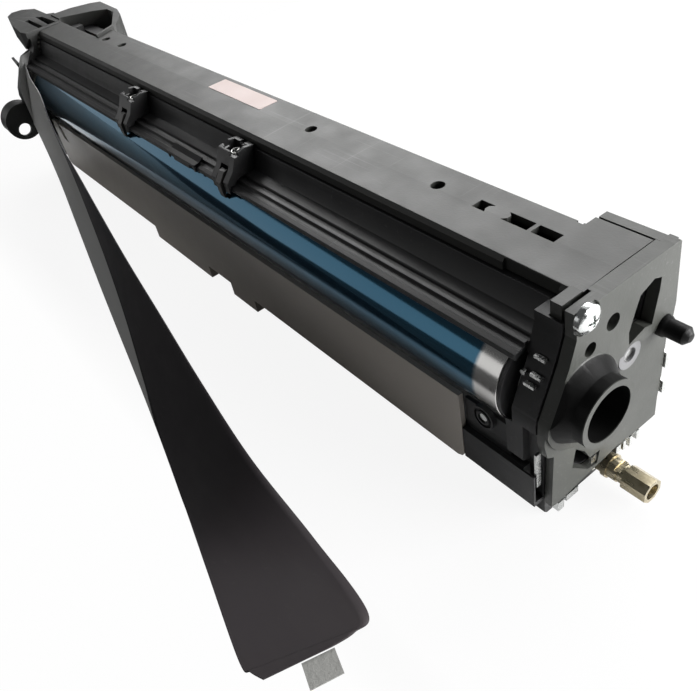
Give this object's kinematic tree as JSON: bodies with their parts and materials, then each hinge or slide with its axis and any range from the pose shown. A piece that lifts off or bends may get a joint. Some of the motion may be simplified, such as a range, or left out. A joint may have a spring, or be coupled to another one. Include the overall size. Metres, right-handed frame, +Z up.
{
  "type": "printer drum unit",
  "caption": "Long printer drum unit: coated drum under a ribbed rail in a black frame, end caps, drive collar, pull tab and a peeled protective sheet.",
  "frame": {"origin": "on the drum axis at the mouth of the drive collar", "axes": "+X along the drum axis out of the drive collar, +Y to the rear away from the open side of the drum, +Z up"},
  "size_m": [0.4417, 0.1452, 0.078],
  "materials": {
    "frame_black": "fine matt moulding",
    "rail_black": "semi-matt moulding",
    "cover_black": "fine grained, slight sheen",
    "base_black": "matt extrusion",
    "cap_black": "fine grained",
    "label_pale": "smooth paper film",
    "plate_brown": "satin coating",
    "screw_zinc": "bright zinc",
    "clip_steel": "plain steel",
    "spring_steel": "bright wire",
    "bushing_white": "natural moulding",
    "gear_white": "natural moulding",
    "blade_rubber": "smooth",
    "film_clear": "smooth film",
    "felt_grey": "felt",
    "sheet_black": "flexible sheet",
    "tab_grey": "paper tape",
    "ring_grey": "moulded",
    "drum_coating": "glossy coating on aluminium",
    "flange_grey": "moulded",
    "coupling_brass": "dull brass",
    "roller_rubber": "smooth",
    "wiper_foam": "fine foam",
    "claw_brown": "moulded"
  },
  "bodies": {
    "frame": {"main_frame": "frame_black", "picker_rail": "rail_black", "top_cover": "cover_black", "cover_label": "label_pale", "front_plate": "plate_brown", "lower_rail": "base_black", "right_end_cap": "cap_black", "charge_ring": "ring_grey", "corner_screw": "screw_zinc", "terminal_clips": "clip_steel", "left_end_cap": "cap_black", "drum_bushing_right": "bushing_white", "drum_bushing_left": "bushing_white", "auger_bushings": "bushing_white", "charge_bearing_left": "bushing_white", "charge_bearing_right": "bushing_white", "charge_springs": "spring_steel", "conveyor_bushing": "bushing_white", "cleaning_blade": "blade_rubber", "blade_bracket": "clip_steel", "blade_screws": "screw_zinc", "recovery_film": "film_clear", "end_felts": "felt_grey", "picker_block_left": "rail_black", "picker_block_right": "rail_black", "claw_springs": "spring_steel", "rail_clip": "rail_black", "boss_pin": "screw_zinc", "protective_sheet": "sheet_black", "sheet_tab": "tab_grey"},
    "drum": {"drum_tube": "drum_coating", "drum_flange_right": "flange_grey", "drum_flange_left": "flange_grey", "drum_gear": "gear_white", "drum_ground_plate": "coupling_brass"},
    "waste_screw": {"waste_auger": "rail_black", "auger_gear": "gear_white"},
    "charger": {"charge_roller": "roller_rubber", "charge_roller_shaft": "clip_steel"},
    "charge_wiper": {"charge_cleaning_roller": "wiper_foam", "cleaning_roller_shaft": "clip_steel"},
    "conveyor": {"conveyor_auger": "rail_black", "coupling_sleeve": "coupling_brass"},
    "claw_left": {"picker_claw_left": "claw_brown"},
    "claw_right": {"picker_claw_right": "claw_brown"}
  },
  "joints": [
    {"name": "drum_spin", "type": "hinge", "parent": "frame", "child": "drum", "pos_m": [0, 0, 0], "axis": [1, 0, 0], "continuous": true},
    {"name": "waste_screw_spin", "type": "hinge", "parent": "frame", "child": "waste_screw", "pos_m": [0, 0.00839, 0.02077], "axis": [1, 0, 0], "continuous": true},
    {"name": "charge_spin", "type": "hinge", "parent": "frame", "child": "charger", "pos_m": [0, 0.01945, 0.00135], "axis": [1, 0, 0], "continuous": true},
    {"name": "charge_wiper_spin", "type": "hinge", "parent": "frame", "child": "charge_wiper", "pos_m": [0, 0.0232, 0.00784], "axis": [1, 0, 0], "continuous": true},
    {"name": "conveyor_spin", "type": "hinge", "parent": "frame", "child": "conveyor", "pos_m": [0, 0.016, -0.041], "axis": [1, 0, 0], "continuous": true},
    {"name": "claw_left_hinge", "type": "hinge", "parent": "frame", "child": "claw_left", "pos_m": [-0.2515, -0.0088, 0.0183], "axis": [-1, 0, 0], "range_deg": [0, 18], "stiffness_Nm_per_rad": 0.0005, "springref_deg": -8.59},
    {"name": "claw_right_hinge", "type": "hinge", "parent": "frame", "child": "claw_right", "pos_m": [-0.164, -0.0088, 0.0183], "axis": [-1, 0, 0], "range_deg": [0, 18], "stiffness_Nm_per_rad": 0.0005, "springref_deg": -8.59}
  ],
  "couplings": [
    {"joint": "waste_screw_spin", "follows": "drum_spin", "ratio": -2.1111},
    {"joint": "charge_spin", "follows": "drum_spin", "ratio": -3.5714},
    {"joint": "charge_wiper_spin", "follows": "drum_spin", "ratio": 5}
  ]
}
